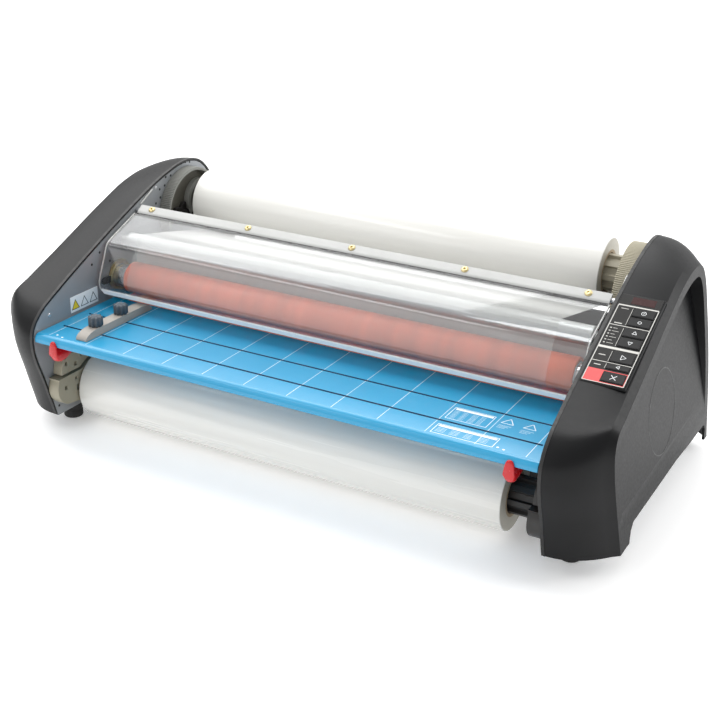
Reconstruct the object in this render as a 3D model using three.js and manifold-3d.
// Thermal roll laminator, table-top, with two supply rolls and a hinged clear shield.
// Frame: millimetres, +X to the operator's right, +Y to the rear, +Z up.
// The origin is the centre of the footprint, at the level of the rubber feet's soles.
import * as THREE from 'three';
import { mergeVertices } from 'three/addons/utils/BufferGeometryUtils.js';
import Module from 'manifold-3d';

const wasm = await Module();
wasm.setup();

// ---------- driving dimensions ----------
const GAP = 0.3;               // clearance between touching pieces
const PLATE_FACE = 364;        // inner face of each side plate, from the middle
const PLATE_T = 3;
const PLATE_Z = 24;            // lowest edge of the side plates
const HOUSING_IN = PLATE_FACE + PLATE_T + GAP;
const WALL = 3.5;              // moulded wall of the housings
const SIDE_X = 445.3;          // outer face of a housing at floor level
const SIDE_LEAN = 0.053;       // how far that face leans in per millimetre of height
const CHAMFER = 8;             // bevel between the crowned face and the side
const HEAT = { y: -53, r: 24, sleeve: 4.7, half: 338 };
const NIP_Z = 164;
const PULL = { y: 119, r: 22, half: 340 };
const UPPER_ROLL = { y: 130.6, z: 261.8, r: 46, x0: -331, x1: 307 };
const LOWER_ROLL = { y: -132.6, z: 53.5, r: 48, x0: -344, x1: 298 };
const IDLER = { y: -40, z: 238, r: 12.2, half: 350 };
const LOWER_IDLER = { y: -84, z: 118, r: 8, half: 350 };
const TABLE = { top: 160.5, t: 2.2, front: -239, rear: -72, half: 361.6, lip: 12 };
const SLOT = { ys: [-195, -142], width: 3.2, half: 350 };
const GUIDE = { x: -292, width: 17.5, y0: -226, y1: -84, h: 11.2 };
const SHIELD_T = 3;
const SHIELD_HALF = 358;
const ROD = { y: -5.8, z: 274.4, r: 3.5 };
const PANEL = { x: 395.4, y: -76, z: 257.2, w: 50.8, l: 147.8, tilt: 23.9, depth: 4.5 };
const GEAR = { teeth: 16, pitch: 24, x: 371, width: 8 };
const BELT = { x: 385, width: 7, t: 2.4 };
const MOTOR = { y: 48, z: 84, r: 24, pulley: 11 };
const FOOT = { r: 13.5, h: 23.7, x: 381, front: -154, rear: 196 };

// ---------- materials ----------
function paint(color, roughness, metalness = 0) {
  return new THREE.MeshStandardMaterial({ color, roughness, metalness });
}
const housingBlack = paint(0x2b2c2e, 0.45);
const plateGrey = paint(0x9a9ea4, 0.4, 0.7);
const steel = paint(0xb9bcc0, 0.3, 1);
const brass = paint(0xb8903c, 0.35, 1);
const rubber = paint(0x151515, 0.8);
const silicone = paint(0xb8452e, 0.55);
const tableBlue = paint(0x1f8fd0, 0.25);
const film = paint(0xe9e8e4, 0.2);
const ivory = paint(0xc9c4b0, 0.55);
const supportGrey = paint(0x8c8f8c, 0.5);
const darkPlastic = paint(0x2c2b29, 0.5);
const red = paint(0xc01622, 0.35);
const guideBeige = paint(0xb5aca0, 0.55);
const knobGrey = paint(0x55606a, 0.55);
const keyBlack = paint(0x1b1b1c, 0.35);
const strip = paint(0xc9ccce, 0.35, 0.9);
const clear = new THREE.MeshStandardMaterial({ color: 0xdfe6ea, roughness: 0.08, transparent: true, opacity: 0.3 });

// ---------- solid helpers ----------
function clean(geometry) {
  const bare = new THREE.BufferGeometry();
  bare.setAttribute('position', geometry.getAttribute('position').clone());
  if (geometry.index) bare.setIndex(geometry.index.clone());
  const merged = mergeVertices(bare, 1e-4);
  const position = merged.getAttribute('position');
  const index = [];
  for (let i = 0; i < merged.index.count; i += 3) {
    const [a, b, c] = [0, 1, 2].map((k) => merged.index.getX(i + k));
    if (a !== b && b !== c && a !== c) index.push([a, b, c]);
  }
  const corner = (k) => new THREE.Vector3().fromBufferAttribute(position, k);
  const volume = index.reduce((sum, [a, b, c]) => sum + corner(a).dot(corner(b).cross(corner(c))), 0);
  merged.setIndex(index.flatMap(([a, b, c]) => (volume < 0 ? [a, c, b] : [a, b, c])));
  return merged;
}

function solid(geometry) {
  const g = clean(geometry);
  return new wasm.Manifold(new wasm.Mesh({
    numProp: 3,
    vertProperties: new Float32Array(g.getAttribute('position').array),
    triVerts: new Uint32Array(g.index.array),
  }));
}

function geometryOf(manifold) {
  const mesh = manifold.getMesh();
  const g = new THREE.BufferGeometry();
  g.setAttribute('position', new THREE.BufferAttribute(new Float32Array(mesh.vertProperties), 3));
  g.setIndex(new THREE.BufferAttribute(new Uint32Array(mesh.triVerts), 1));
  return g;
}

function cut(body, ...tools) {
  return geometryOf(tools.reduce((left, tool) => left.subtract(solid(tool)), solid(body)));
}

function join(body, ...more) {
  return geometryOf(more.reduce((left, piece) => left.add(solid(piece)), solid(body)));
}

function mirrored(geometry) {
  const copy = geometry.clone();
  copy.scale(-1, 1, 1);
  return clean(copy);
}

// An outline drawn in Y and Z, extruded from x0 to x1.
function prism(outline, x0, x1, curveSegments = 8) {
  const shape = Array.isArray(outline) ? new THREE.Shape(outline.map(([y, z]) => new THREE.Vector2(y, z))) : outline;
  const g = new THREE.ExtrudeGeometry(shape, { depth: x1 - x0, bevelEnabled: false, curveSegments });
  const yz = new THREE.Matrix4().makeBasis(
    new THREE.Vector3(0, 1, 0), new THREE.Vector3(0, 0, 1), new THREE.Vector3(1, 0, 0));
  return g.applyMatrix4(yz).translate(x0, 0, 0);
}

// A box between two corners.
function box(x0, x1, y0, y1, z0, z1) {
  return new THREE.BoxGeometry(x1 - x0, y1 - y0, z1 - z0).translate((x0 + x1) / 2, (y0 + y1) / 2, (z0 + z1) / 2);
}

// A turned piece about an axis along X: profile points are [x, radius].
function turned(profile, y, z, segments = 40) {
  const points = profile.map(([x, r]) => new THREE.Vector2(r, x));
  return new THREE.LatheGeometry(points, segments).rotateZ(-Math.PI / 2).translate(0, y, z);
}

function rod(r, x0, x1, y, z, segments = 32) {
  return turned([[x0, 0], [x0, r], [x1, r], [x1, 0]], y, z, segments);
}

function tube(r, bore, x0, x1, y, z, segments = 40) {
  return turned([[x0, bore], [x0, r], [x1, r], [x1, bore], [x0, bore]], y, z, segments);
}

// A strip of even thickness that follows a path in Y and Z.
function ribbon(path, thickness, x0, x1) {
  const side = (sign) => path.map((p, i) => {
    const a = path[Math.max(i - 1, 0)];
    const b = path[Math.min(i + 1, path.length - 1)];
    const length = Math.hypot(b[0] - a[0], b[1] - a[1]);
    const shift = sign * thickness / 2 / length;
    return [p[0] - (b[1] - a[1]) * shift, p[1] + (b[0] - a[0]) * shift];
  });
  return prism([...side(1), ...side(-1).reverse()], x0, x1);
}

function arc(y, z, r, from, to, steps) {
  return Array.from({ length: steps + 1 }, (_, i) => {
    const a = THREE.MathUtils.degToRad(from + (to - from) * i / steps);
    return [y + r * Math.cos(a), z + r * Math.sin(a)];
  });
}

// ---------- group and naming ----------
const laminator = new THREE.Group();

function add(name, geometry, material) {
  const mesh = new THREE.Mesh(clean(geometry), material);
  mesh.name = name;
  laminator.add(mesh);
}

// ---------- side profiles ----------
const SAMPLES = 36;
function smooth(points) {
  const curve = new THREE.CatmullRomCurve3(points.map(([y, z]) => new THREE.Vector3(y, z, 0)), false, 'centripetal');
  return curve.getPoints(SAMPLES).map((p) => [p.x, p.y]);
}
const INNER_EDGE = smooth([
  [-208, 27], [-225, 82], [-241.5, 134], [-239.5, 164], [-221, 186], [-185, 206], [-114, 240],
  [-6, 287], [60, 311], [118, 322], [152, 315], [180, 288], [212, 215], [232, 120], [242, 22]]);
const OUTER_EDGE = smooth([
  [-170, 27], [-191, 88], [-207, 142], [-210, 176], [-199, 198], [-170, 211], [-112, 236],
  [-8, 282], [40, 300], [88, 308], [122, 303], [148, 281], [178, 215], [206, 130], [227, 16]]);

// The outline moved inward by d; its two lowest ends stay at their height.
function inset(outline, d) {
  return outline.map((p, i) => {
    if (i === 0) return [p[0] + d, p[1]];
    if (i === outline.length - 1) return [p[0] - d, p[1]];
    const [a, b] = [outline[i - 1], outline[i + 1]];
    const length = Math.hypot(b[0] - a[0], b[1] - a[1]);
    return [p[0] + (b[1] - a[1]) * d / length, p[1] - (b[0] - a[0]) * d / length];
  });
}

function blendOutline(t) {
  const crown = t ** 2.2;
  return INNER_EDGE.map((p, i) => [
    p[0] + (OUTER_EDGE[i][0] - p[0]) * crown, p[1] + (OUTER_EDGE[i][1] - p[1]) * crown]);
}

const sideX = (z) => SIDE_X - SIDE_LEAN * z;

// Skin through a row of closed outlines, each a list of [x, y, z], capped at both ends.
function loft(stations) {
  const n = stations[0].length;
  const index = [];
  for (let s = 0; s < stations.length - 1; s += 1) {
    for (let i = 0; i < n; i += 1) {
      const [a, b] = [s * n + i, s * n + (i + 1) % n];
      index.push(a, b, b + n, a, b + n, a + n);
    }
  }
  const cap = (s, flip) => {
    const flat = stations[s].map(([, y, z]) => new THREE.Vector2(y, z));
    const faces = THREE.ShapeUtils.triangulateShape(flat, []);
    faces.forEach(([a, b, c]) => index.push(...(flip ? [a, c, b] : [a, b, c]).map((k) => s * n + k)));
  };
  const last = stations.length - 1;
  const clockwise = THREE.ShapeUtils.area(stations[0].map(([, y, z]) => new THREE.Vector2(y, z))) < 0;
  cap(0, !clockwise);
  cap(last, clockwise);
  const g = new THREE.BufferGeometry();
  g.setAttribute('position', new THREE.BufferAttribute(new Float32Array(stations.flat(2)), 3));
  g.setIndex(index);
  return g;
}

// ---------- housings ----------
// The crowned body of a housing. shrink moves every face inward, to make the hollow from the same form.
function housingForm(shrink) {
  const drop = shrink > 0 ? 12 : 0;
  const lower = (outline) => outline.map(([y, z], i) => (
    i === 0 || i === outline.length - 1 ? [y, z - drop] : [y, z]));
  const crowned = [0, 0.3, 0.55, 0.78, 1].map((t, k) => {
    const outline = lower(inset(blendOutline(t), shrink));
    const start = HOUSING_IN - (shrink > 0 && k === 0 ? 1 : 0);
    return outline.map(([y, z]) => [start + t * (sideX(z) - CHAMFER - shrink / 2 - start), y, z]);
  });
  const flank = lower(inset(OUTER_EDGE, shrink + CHAMFER - 1));
  return loft([...crowned, flank.map(([y, z]) => [sideX(z) - shrink, y, z])]);
}

// The hollow in the outer face: deepest under its arched top, running out to nothing at the bottom.
function flankRecess(grow) {
  const border = 24 - grow;
  const outline = inset(OUTER_EDGE, border).filter(([, z]) => z > 62);
  const depth = (z) => 0.088 * (z - 72) + grow;
  return loft([
    outline.map(([y, z]) => [sideX(z) - depth(z), y, z]),
    outline.map(([y, z]) => [SIDE_X + 20, y, z])]);
}

function panelBlock(width, length, bottom, top) {
  return box(-width / 2, width / 2, -length / 2, length / 2, bottom, top);
}

// Moves a piece drawn flat into the sloping frame of the control panel.
function onPanel(geometry) {
  return geometry.rotateX(THREE.MathUtils.degToRad(PANEL.tilt)).translate(PANEL.x, PANEL.y, PANEL.z);
}

function lowerArch() {
  const front = [[-131, -5], [-129, 36], [-118, 50]];
  const rear = [[60, 49.5], [137, 45], [196, 43], [205, 30], [207, -5]];
  return prism([...front, ...rear], 384, 470);
}

function housing(withPanel) {
  const hollow = solid(housingForm(WALL)).subtract(solid(flankRecess(WALL)));
  let shell = solid(housingForm(0)).subtract(solid(flankRecess(0))).subtract(solid(lowerArch()));
  let inside = hollow;
  if (withPanel) {
    const grown = onPanel(panelBlock(PANEL.w + 2 * WALL, PANEL.l + 2 * WALL, -PANEL.depth - WALL, 30));
    inside = inside.subtract(solid(grown));
    shell = shell.subtract(solid(onPanel(panelBlock(PANEL.w, PANEL.l, -PANEL.depth, 30))));
  }
  return geometryOf(shell.subtract(inside));
}
add('right_housing', housing(true), housingBlack);
add('left_housing', mirrored(housing(false)), housingBlack);

// ---------- side plates ----------
const GEAR_BORE = 12;
const JOURNAL = 17;
const HEAT_Z = { upper: NIP_Z + HEAT.r + GAP / 2, lower: NIP_Z - HEAT.r - GAP / 2 };
const PULL_Z = { upper: NIP_Z + PULL.r + GAP / 2, lower: NIP_Z - PULL.r - GAP / 2 };
const PULL_SHAFT = 8;
const MANDREL = 7;
const SUPPORT_X = 346;
const plateHole = (r, y, z) => rod(r, PLATE_FACE - 5, PLATE_FACE + PLATE_T + 5, y, z, 20);

function plateOutline() {
  const outline = inset(INNER_EDGE, 3.5);
  return outline.map(([y, z], i) => (i === 0 || i === outline.length - 1 ? [y, PLATE_Z] : [y, z]));
}

function sidePlate() {
  const plate = prism(plateOutline(), PLATE_FACE, PLATE_FACE + PLATE_T);
  const flange = box(PLATE_FACE + 1, 420, -176, 212, PLATE_Z, PLATE_Z + PLATE_T);
  const holes = [
    plateHole(JOURNAL + 0.5, HEAT.y, HEAT_Z.upper), plateHole(JOURNAL + 0.5, HEAT.y, HEAT_Z.lower),
    plateHole(PULL_SHAFT + 0.4, PULL.y, PULL_Z.upper), plateHole(PULL_SHAFT + 0.4, PULL.y, PULL_Z.lower),
    plateHole(ROD.r + 0.4, ROD.y, ROD.z),
    plateHole(6.4, IDLER.y, IDLER.z), plateHole(4.4, LOWER_IDLER.y, LOWER_IDLER.z),
    plateHole(MANDREL + 0.4, UPPER_ROLL.y, UPPER_ROLL.z), plateHole(MANDREL + 0.4, LOWER_ROLL.y, LOWER_ROLL.z),
    plateHole(4.4, MOTOR.y, MOTOR.z)];
  return cut(join(plate, flange), ...holes);
}

add('right_side_plate', sidePlate(), plateGrey);
add('left_side_plate', mirrored(sidePlate()), plateGrey);

// ---------- base and rear ----------
function basePan() {
  const u = [[-70, 27.3], [-70, 44], [-68, 44], [-68, 29.3], [214, 29.3], [214, 44], [216, 44], [216, 27.3]];
  return prism(u, -PLATE_FACE + GAP, PLATE_FACE - GAP);
}
add('base_pan', basePan(), plateGrey);

function rearCover() {
  const path = [[236, 29], [227, 92], [219, 150], [212, 184], [196, 214], [184, 226]];
  const sheet = ribbon(path, 2, -PLATE_FACE + GAP, PLATE_FACE - GAP);
  const exit = box(-344, 344, 190, 245, NIP_Z - 14, NIP_Z + 16);
  const inlet = box(282, 330, 210, 250, 48, 78);
  const rocker = box(238, 260, 210, 250, 50, 76);
  const breaker = new THREE.CylinderGeometry(6.5, 6.5, 60, 24).translate(212, 230, 63);
  return cut(sheet, exit, inlet, rocker, breaker);
}
add('rear_cover', rearCover(), housingBlack);

for (const [name, x, y] of [
  ['front_left_foot', -1, FOOT.front], ['front_right_foot', 1, FOOT.front],
  ['rear_left_foot', -1, FOOT.rear], ['rear_right_foot', 1, FOOT.rear]]) {
  const profile = [[0, 0], [FOOT.r - 1.5, 0], [FOOT.r, 1.5], [FOOT.r + 1, FOOT.h], [0, FOOT.h]];
  const foot = new THREE.LatheGeometry(profile.map(([r, z]) => new THREE.Vector2(r, z)), 32);
  add(name, foot.rotateX(Math.PI / 2).translate(x * FOOT.x, y, 0), rubber);
}

// ---------- supports of the supply rolls ----------
const RIM = { y: 111, z: 248, r: 65, teeth: 40 };
function upperSupport() {
  const toothed = Array.from({ length: 2 * RIM.teeth }, (_, i) => {
    const a = Math.PI * i / RIM.teeth;
    const r = RIM.r - (i % 2);
    return [RIM.y + r * Math.cos(a), RIM.z + r * Math.sin(a)];
  });
  return cut(prism(toothed, SUPPORT_X, PLATE_FACE - GAP),
    rod(RIM.r - 6, 330, SUPPORT_X + 6, RIM.y, RIM.z, 48),
    box(330, 370, 20, 200, 120, 226),
    box(330, 370, 166, 260, 120, 330),
    rod(MANDREL + 0.5, 330, 370, UPPER_ROLL.y, UPPER_ROLL.z));
}
add('upper_right_support', upperSupport(), ivory);
add('upper_left_support', mirrored(upperSupport()), supportGrey);

function lowerSupport() {
  const outline = [
    [-144, 112], [-187, 115], [-196, 113.5], ...arc(-187, 92, 23, 140, 180, 3), [-217, 88],
    ...arc(-192, 74, 26, 160, 250, 6), [-175, 41], [-150, 33], [-105, 33], [-98, 52], [-104, 80], [-130, 90]];
  const body = prism(outline, SUPPORT_X, PLATE_FACE - GAP);
  const hubRoom = rod(30, 330, 355, LOWER_ROLL.y, LOWER_ROLL.z, 36);
  const mandrelHole = rod(MANDREL + 0.5, 330, 370, LOWER_ROLL.y, LOWER_ROLL.z);
  const split = box(330, 352, -213, -168, 86.5, 89);
  return cut(body, hubRoom, mandrelHole, split);
}
add('lower_left_support', mirrored(lowerSupport()), ivory);
add('lower_right_support', lowerSupport(), darkPlastic);

// ---------- supply rolls ----------
function filmRoll(roll) {
  const core = 26;
  return turned([
    [roll.x0, core], [roll.x0, roll.r - 0.5], [roll.x0 + 0.5, roll.r], [roll.x1 - 0.5, roll.r],
    [roll.x1, roll.r - 0.5], [roll.x1, core], [roll.x0, core]], roll.y, roll.z, 56);
}

function flutedAdapter(roll, end) {
  const flutes = 8;
  const outline = Array.from({ length: flutes * 4 }, (_, i) => {
    const a = 2 * Math.PI * (i + 0.5) / (flutes * 4);
    const r = i % 4 < 2 ? 25.2 : 20.5;
    return [roll.y + r * Math.cos(a), roll.z + r * Math.sin(a)];
  });
  const plug = prism(outline, roll.x1 - 30, end);
  return cut(plug, rod(MANDREL + 0.3, roll.x1 - 40, end + 10, roll.y, roll.z));
}

function mandrel(roll) {
  const ends = rod(MANDREL, -PLATE_FACE - 8, PLATE_FACE + 8, roll.y, roll.z);
  const hub = rod(25.2, roll.x0 - 9, roll.x0 + 26, roll.y, roll.z, 40);
  return join(ends, hub);
}
add('upper_film_roll', filmRoll(UPPER_ROLL), film);
add('upper_mandrel', mandrel(UPPER_ROLL), steel);
add('upper_core_adapter', flutedAdapter(UPPER_ROLL, 338), ivory);
add('lower_film_roll', filmRoll(LOWER_ROLL), film);
add('lower_mandrel', mandrel(LOWER_ROLL), steel);
add('lower_core_adapter', flutedAdapter(LOWER_ROLL, 338), darkPlastic);

// ---------- heated rollers ----------
function heatSleeve(z) {
  return tube(HEAT.r, HEAT.r - HEAT.sleeve, -HEAT.half, HEAT.half, HEAT.y, z, 48);
}

function heatCore(z, rightEnd) {
  const bore = 9;
  const body = HEAT.r - HEAT.sleeve - GAP;
  return turned([
    [-372, bore], [-372, JOURNAL], [-HEAT.half, JOURNAL], [-HEAT.half, body], [HEAT.half, body],
    [HEAT.half, JOURNAL], [369, JOURNAL], [369, GEAR_BORE], [rightEnd, GEAR_BORE], [rightEnd, bore],
    [-372, bore]], HEAT.y, z, 24);
}
add('upper_heat_sleeve', heatSleeve(HEAT_Z.upper), silicone);
add('lower_heat_sleeve', heatSleeve(HEAT_Z.lower), silicone);
add('upper_heat_core', heatCore(HEAT_Z.upper, 381), steel);
add('lower_heat_core', heatCore(HEAT_Z.lower, 396), steel);
add('upper_heater_rod', rod(6, -380, 399, HEAT.y, HEAT_Z.upper, 14), steel);
add('lower_heater_rod', rod(6, -380, 399, HEAT.y, HEAT_Z.lower, 14), steel);
for (const [name, sign] of [['right_roller_bearing', 1], ['left_roller_bearing', -1]]) {
  const ring = tube(23, JOURNAL + 0.6, 358, PLATE_FACE - GAP, HEAT.y, HEAT_Z.upper, 28);
  add(name, sign > 0 ? ring : mirrored(ring), brass);
}

// ---------- gears, pulleys and belt ----------
function toothedWheel(y, z, turn, x0, x1) {
  const pitch = 2 * Math.PI / GEAR.teeth;
  const outline = [];
  for (let i = 0; i < GEAR.teeth; i += 1) {
    for (const [part, r] of [[-0.235, 22], [-0.105, 25.2], [0.105, 25.2], [0.235, 22]]) {
      const a = (i + part + turn) * pitch;
      outline.push([y + r * Math.cos(a), z + r * Math.sin(a)]);
    }
  }
  return prism(outline, x0, x1);
}
const gearEnd = GEAR.x + GEAR.width;
const boreTool = (r, y, z) => rod(r, GEAR.x - 5, BELT.x + 20, y, z);
add('upper_roller_gear',
  cut(toothedWheel(HEAT.y, HEAT_Z.upper, 0, GEAR.x, gearEnd), boreTool(GEAR_BORE + GAP, HEAT.y, HEAT_Z.upper)),
  darkPlastic);
const cluster = join(toothedWheel(HEAT.y, HEAT_Z.lower, 0.5, GEAR.x, gearEnd),
  rod(18, gearEnd - 1, BELT.x + BELT.width, HEAT.y, HEAT_Z.lower, 36));
add('lower_roller_gear', cut(cluster, boreTool(GEAR_BORE + GAP, HEAT.y, HEAT_Z.lower)), darkPlastic);

// The belt runs round three pulleys on their outer sides: [y, z, radius].
const PULLEYS = [[HEAT.y, HEAT_Z.lower, 18], [PULL.y, PULL_Z.lower, 16.5], [MOTOR.y, MOTOR.z, MOTOR.pulley]];
function beltLine(offset) {
  const points = PULLEYS.flatMap(([y, z, r]) => arc(y, z, r + offset, 0, 350, 35));
  const start = points.reduce((best, p) => (p[0] < best[0] ? p : best));
  const hull = [start];
  for (;;) {
    const here = hull[hull.length - 1];
    let next = null;
    for (const p of points) {
      if (p === here) continue;
      const turn = next && (next[0] - here[0]) * (p[1] - here[1]) - (next[1] - here[1]) * (p[0] - here[0]);
      if (!next || turn < 0) next = p;
    }
    if (next === start) return hull;
    hull.push(next);
  }
}
add('drive_belt', cut(prism(beltLine(0.5 + BELT.t), BELT.x, BELT.x + BELT.width),
  prism(beltLine(0.5), BELT.x - 5, BELT.x + BELT.width + 5)), rubber);
add('pull_pulley', tube(16.5, 6 + GAP, BELT.x, BELT.x + BELT.width, PULL.y, PULL_Z.lower, 36), darkPlastic);
add('motor_pulley', tube(MOTOR.pulley, 3 + GAP, BELT.x, BELT.x + BELT.width, MOTOR.y, MOTOR.z, 28), steel);
const motorShell = [[268, 0], [268, MOTOR.r - 2], [270, MOTOR.r], [322, MOTOR.r], [322, MOTOR.r + 3],
  [PLATE_FACE - GAP, MOTOR.r + 3], [PLATE_FACE - GAP, 3], [BELT.x + BELT.width + 2, 3], [BELT.x + BELT.width + 2, 0]];
add('drive_motor', turned(motorShell, MOTOR.y, MOTOR.z, 36), steel);

// ---------- pull rollers and idlers ----------
function pullRoller(z, rightEnd) {
  return turned([
    [-370, 0], [-370, PULL_SHAFT], [-PULL.half, PULL_SHAFT], [-PULL.half, PULL.r], [PULL.half, PULL.r],
    [PULL.half, PULL_SHAFT], [369, PULL_SHAFT], [369, 6], [rightEnd, 6], [rightEnd, 0]], PULL.y, z, 28);
}
add('upper_pull_roller', pullRoller(PULL_Z.upper, 372), rubber);
add('lower_pull_roller', pullRoller(PULL_Z.lower, 394), rubber);

function idlerRoller(idler, shaft) {
  return turned([
    [-370, 0], [-370, shaft], [-idler.half, shaft], [-idler.half, idler.r], [idler.half, idler.r],
    [idler.half, shaft], [370, shaft], [370, 0]], idler.y, idler.z, 22);
}
add('upper_idler', idlerRoller(IDLER, 6), steel);
add('lower_idler', idlerRoller(LOWER_IDLER, 4), steel);

// The threaded film: from the front of the supply roll over the idler and down round the heated roller.
function filmPath() {
  const clearR = 0.55;
  return [
    ...arc(UPPER_ROLL.y, UPPER_ROLL.z, UPPER_ROLL.r + clearR, 268, 257.8, 2),
    ...arc(IDLER.y, IDLER.z, IDLER.r + clearR, 77.8, 152.2, 7),
    ...arc(HEAT.y, HEAT_Z.upper, HEAT.r + clearR, 152.2, 262, 12)];
}
add('upper_film_web', ribbon(filmPath(), 0.4, UPPER_ROLL.x0 + 1, UPPER_ROLL.x1 - 1), film);

// ---------- feed table ----------
function feedTable() {
  const { top, t, front, rear, lip } = TABLE;
  const outer = [[rear, top], ...arc(front + 8, top - 8, 8, 90, 180, 6), [front, top - lip]];
  const inner = [[front + t, top - lip], ...arc(front + 8, top - 8, 8 - t, 180, 90, 4), [rear, top - t]];
  const sheet = prism([...outer, ...inner], -TABLE.half, TABLE.half);
  const slots = SLOT.ys.map((y) => (
    box(-SLOT.half, SLOT.half, y - SLOT.width / 2, y + SLOT.width / 2, top - 10, top + 10)));
  const ear = prism([[-214, top - t / 2], [-210, 140], [-196, 140], [-190, top - t / 2]], 337, 339.5);
  return join(cut(sheet, ...slots), ear, mirrored(ear));
}
add('feed_table', feedTable(), tableBlue);

function tableLatch() {
  const hook = [[-242, 136], [-242, 153.5], [-241, 156.3], [-239.4, 156.3], [-239.4, 148]];
  const top = [[-234, 147.8], [-229, 151.5], [-214, 153.5], [-201, 151], [-195, 146]];
  const bottom = [[-197, 139.5], [-208, 131.5], [-220, 125.6], [-230, 124.2], [-238.5, 128]];
  return prism([...hook, ...top, ...bottom], 322, 336);
}
add('right_table_latch', tableLatch(), red);
add('left_table_latch', mirrored(tableLatch()), red);

// ---------- side guide ----------
function sideGuide() {
  const z0 = TABLE.top + GAP;
  const { y0, y1, h } = GUIDE;
  const nose = 20;
  const arched = (yTip, sign) => Array.from({ length: 7 }, (_, i) => {
    const a = i * Math.PI / 12;
    return [yTip + sign * nose * (1 - Math.cos(a)), z0 + 1 + (h - 1) * Math.sin(a)];
  });
  const outline = [[y0, z0], ...arched(y0, 1), ...arched(y1, -1).reverse(), [y1, z0]];
  const bar = prism(outline, GUIDE.x - GUIDE.width / 2, GUIDE.x + GUIDE.width / 2);
  const bolts = SLOT.ys.map((y) => (
    new THREE.CylinderGeometry(2.9, 2.9, 40, 20).rotateX(Math.PI / 2).translate(GUIDE.x, y, z0)));
  return cut(bar, ...bolts);
}
add('side_guide', sideGuide(), guideBeige);

function guideKnob(y) {
  const lobes = 9;
  const shape = new THREE.Shape(Array.from({ length: lobes * 4 }, (_, i) => {
    const a = 2 * Math.PI * i / (lobes * 4);
    const r = 9.6 + 0.9 * Math.cos(lobes * a);
    return new THREE.Vector2(r * Math.cos(a), r * Math.sin(a));
  }));
  const z0 = TABLE.top + GAP + GUIDE.h + GAP;
  const grip = new THREE.ExtrudeGeometry(shape, {
    depth: 11, bevelEnabled: true, bevelThickness: 1, bevelSize: 0.8, bevelOffset: -0.8, bevelSegments: 1 });
  grip.translate(GUIDE.x, y, z0 + 1);
  const shank = (r, top, bottom) => (
    new THREE.CylinderGeometry(r, r, top - bottom, 16).rotateX(Math.PI / 2)
      .translate(GUIDE.x, y, (top + bottom) / 2));
  const foot = TABLE.top - TABLE.t;
  return join(grip, shank(1.3, z0 + 3, foot - 2.2), shank(4, foot - GAP, foot - 3.3));
}
add('front_guide_knob', guideKnob(SLOT.ys[0]), knobGrey);
add('rear_guide_knob', guideKnob(SLOT.ys[1]), knobGrey);

// ---------- shield ----------
function shieldPath() {
  return [
    [-18.5, 272.5], [-76, 249.3], ...arc(-79, 240, 9.5, 112, 165, 3), [-103, 204], ...arc(-100, 189, 8.6, 170, 222, 3),
    [-95, 174.5]];
}
add('shield_panel', ribbon(shieldPath(), SHIELD_T, -SHIELD_HALF, SHIELD_HALF), clear);
function shieldStrip() {
  const path = [[-3.4, 282.2], [-13.4, 275.6], [-16.2, 269.9], [-27.5, 265.4]];
  return ribbon(path, 2, -SHIELD_HALF + 2, SHIELD_HALF - 2);
}
add('shield_strip', shieldStrip(), strip);
add('shield_rod', rod(ROD.r, -PLATE_FACE - 2.7, PLATE_FACE + 2.7, ROD.y, ROD.z, 20), steel);

// ---------- control panel ----------
// Keys by the place of their two ends along the panel, as shares of its length from the top.
const KEYS = {
  power_key: [0.145, 0.24], mode_key: [0.25, 0.35], up_key: [0.375, 0.475], down_key: [0.485, 0.59],
  run_key: [0.645, 0.765], reverse_key: [0.785, 0.845], stop_key: [0.875, 0.98] };
const KEY_U = [0.42, 0.95];
const keySpan = ([from, to]) => ({
  x: PANEL.w * ((KEY_U[0] + KEY_U[1]) / 2 - 0.5), w: PANEL.w * (KEY_U[1] - KEY_U[0]),
  y: PANEL.l * (0.5 - (from + to) / 2), l: PANEL.l * (to - from) });

function overlay() {
  const plate = panelBlock(PANEL.w - 2 * GAP, PANEL.l - 2 * GAP, -PANEL.depth + GAP, 0.4);
  const windows = Object.values(KEYS).map((ends) => {
    const k = keySpan(ends);
    return box(k.x - k.w / 2 - GAP, k.x + k.w / 2 + GAP, k.y - k.l / 2 - GAP, k.y + k.l / 2 + GAP, -10, 10);
  });
  return onPanel(cut(plate, ...windows));
}
add('control_overlay', overlay(), keyBlack);

for (const [name, ends] of Object.entries(KEYS)) {
  const k = keySpan(ends);
  const cap = panelBlock(k.w, k.l, -2.9, 1.1);
  const rim = panelBlock(k.w - 1.6, k.l - 1.6, -2.9, 1.7);
  add(name, onPanel(join(cap, rim).translate(k.x, k.y, 0)), keyBlack);
}

// ---------- rear connectors ----------
function inlet() {
  const flange = ribbon([[236.2, 44], [230.8, 82]], 2, 278, 334);
  const body = box(282.4, 329.6, 205, 233, 48.4, 77.6);
  return cut(join(flange, body), box(292, 320, 214, 260, 54, 72));
}
add('power_inlet', inlet(), darkPlastic);

function rocker() {
  const outline = [[215, 54], [230, 52], [234.5, 56], [234, 63], [236.5, 70], [231, 74], [215, 72]];
  return prism(outline, 239, 259);
}
add('power_switch', rocker(), keyBlack);
add('breaker_button', new THREE.CylinderGeometry(6, 6, 24, 24).translate(212, 226, 63), darkPlastic);

export default laminator;
